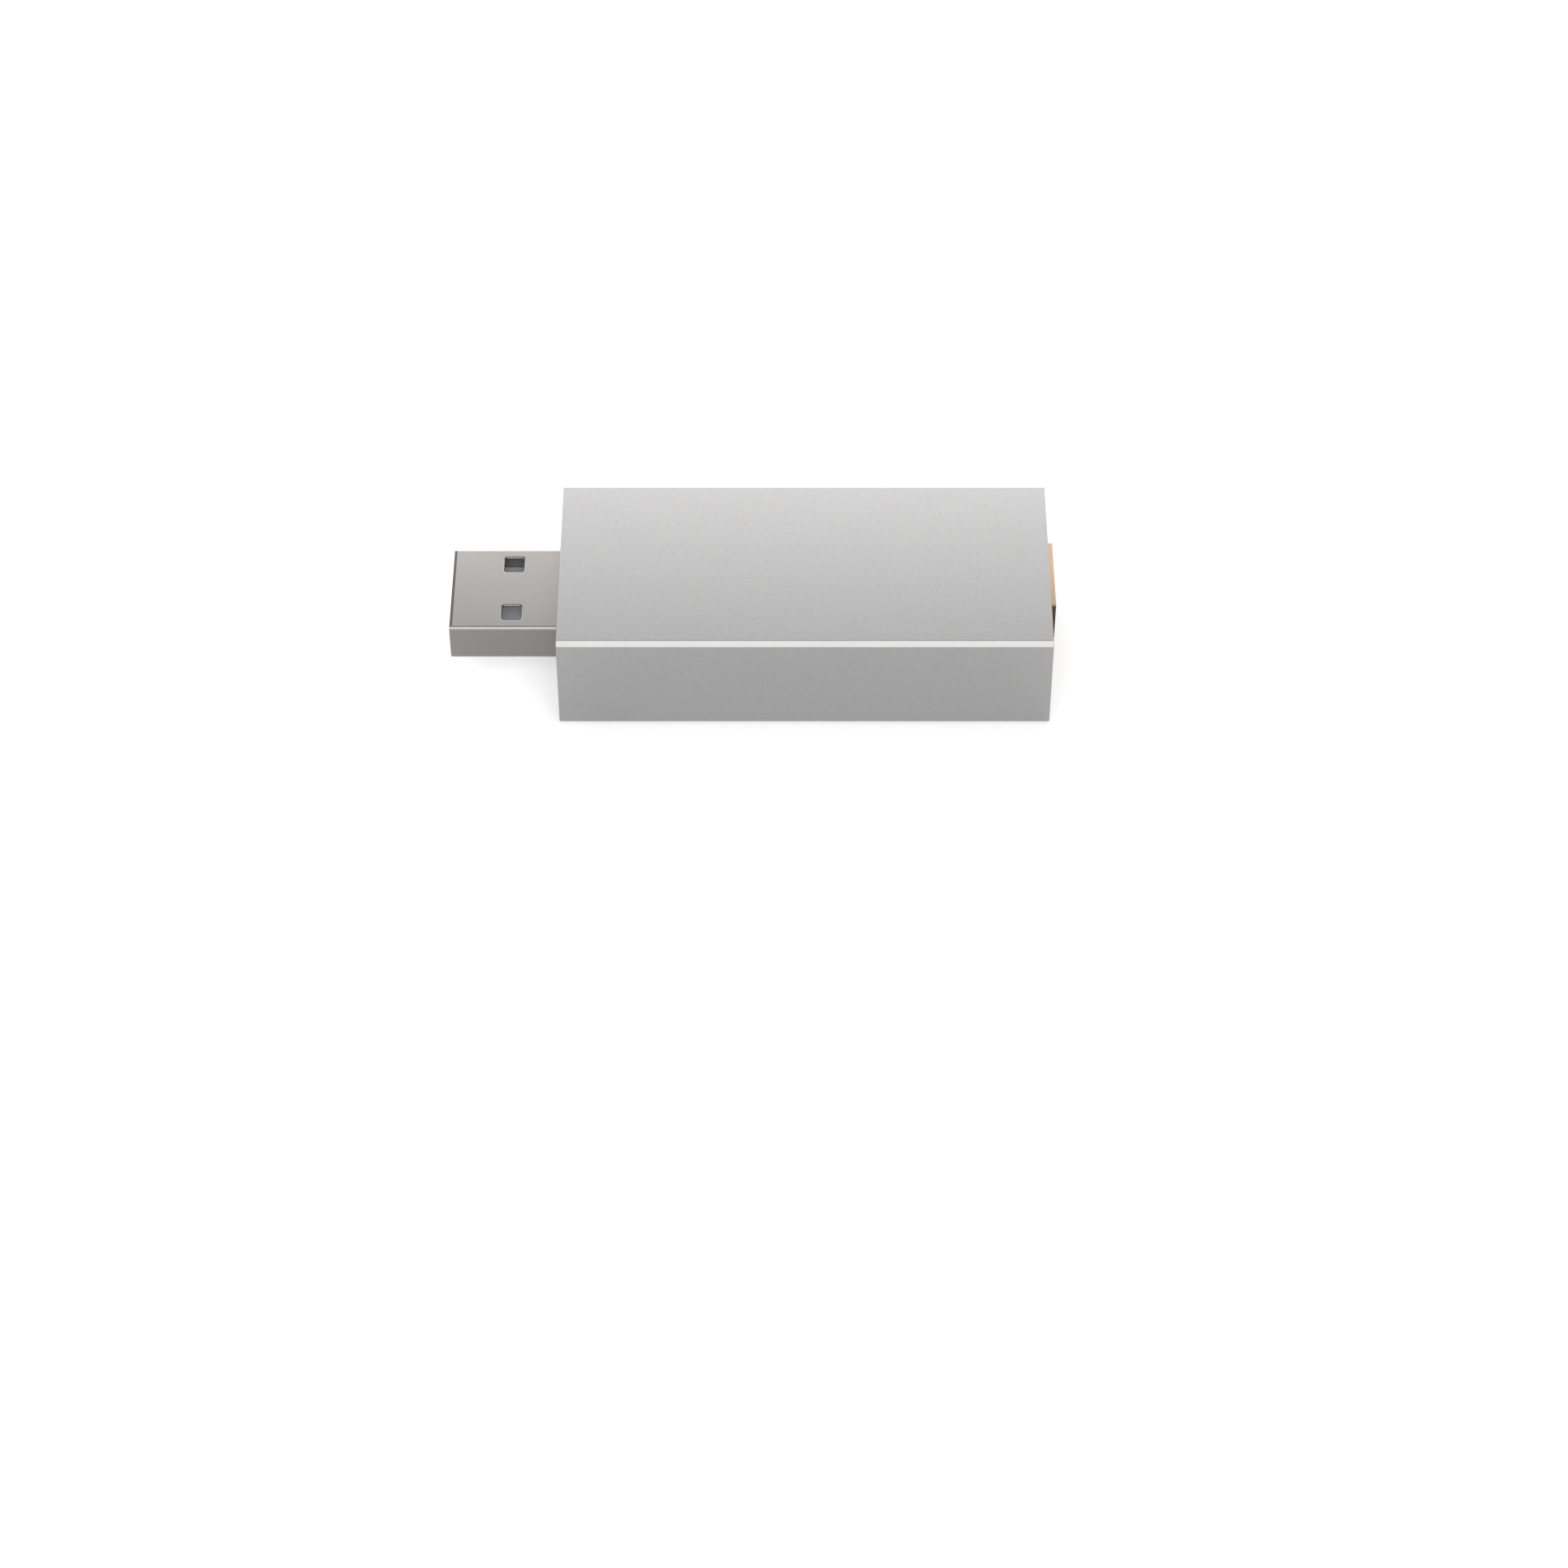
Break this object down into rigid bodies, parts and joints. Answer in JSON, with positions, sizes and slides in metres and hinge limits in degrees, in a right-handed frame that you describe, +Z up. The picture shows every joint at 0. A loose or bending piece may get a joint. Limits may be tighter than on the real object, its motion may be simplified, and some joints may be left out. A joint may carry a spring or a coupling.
{
  "type": "usb radio stick",
  "caption": "Metal-cased USB radio stick: a flat rectangular aluminium sleeve with a type A plug at one end and a gold-plated coaxial antenna socket at the other.",
  "frame": {"origin": "on the surface that the stick lies on, under the middle of its overall length and width", "axes": "+X along the stick from the plug to the antenna socket, +Y to the long side that is the far one in the picture, +Z up"},
  "size_m": [0.064, 0.0244, 0.012],
  "materials": {
    "anodised_sleeve": "bead-blasted and clear anodised, with bright cut chamfers",
    "anodised_plate": "bead-blasted and clear anodised",
    "screw_steel": "nickel plated",
    "board_laminate": "solder mask on glass laminate",
    "plated_steel": "nickel plated sheet",
    "tongue_plastic": "moulded",
    "contact_gold": "gold plated",
    "jack_gold": "gold plated",
    "white_dielectric": "turned fluoropolymer",
    "tinned_steel": "tinned sheet",
    "chip_package": "moulded package",
    "white_chip": "fired ceramic",
    "tan_chip": "fired ceramic",
    "dark_chip": "fired ceramic"
  },
  "bodies": {
    "root": {"housing_sleeve": "anodised_sleeve", "plug_end_plate": "anodised_plate", "jack_end_plate": "anodised_plate", "end_plate_screws": "screw_steel", "main_board": "board_laminate", "usb_shell": "plated_steel", "usb_insulator": "tongue_plastic", "usb_power_contact": "contact_gold", "usb_data_minus_contact": "contact_gold", "usb_data_plus_contact": "contact_gold", "usb_ground_contact": "contact_gold", "rf_jack_body": "jack_gold", "rf_jack_insulator": "white_dielectric", "rf_jack_centre_contact": "contact_gold", "radio_shield_can": "tinned_steel", "radio_chip": "chip_package", "radio_crystal": "tinned_steel", "antenna_filter": "white_chip", "antenna_matching_parts": "tan_chip", "usb_bridge_chip": "chip_package", "surge_protection_chip": "chip_package", "voltage_regulator": "chip_package", "resettable_fuse": "board_laminate", "bulk_capacitors": "tan_chip", "ceramic_capacitors": "tan_chip", "chip_resistors": "dark_chip", "ferrite_beads": "dark_chip"}
  },
  "joints": []
}
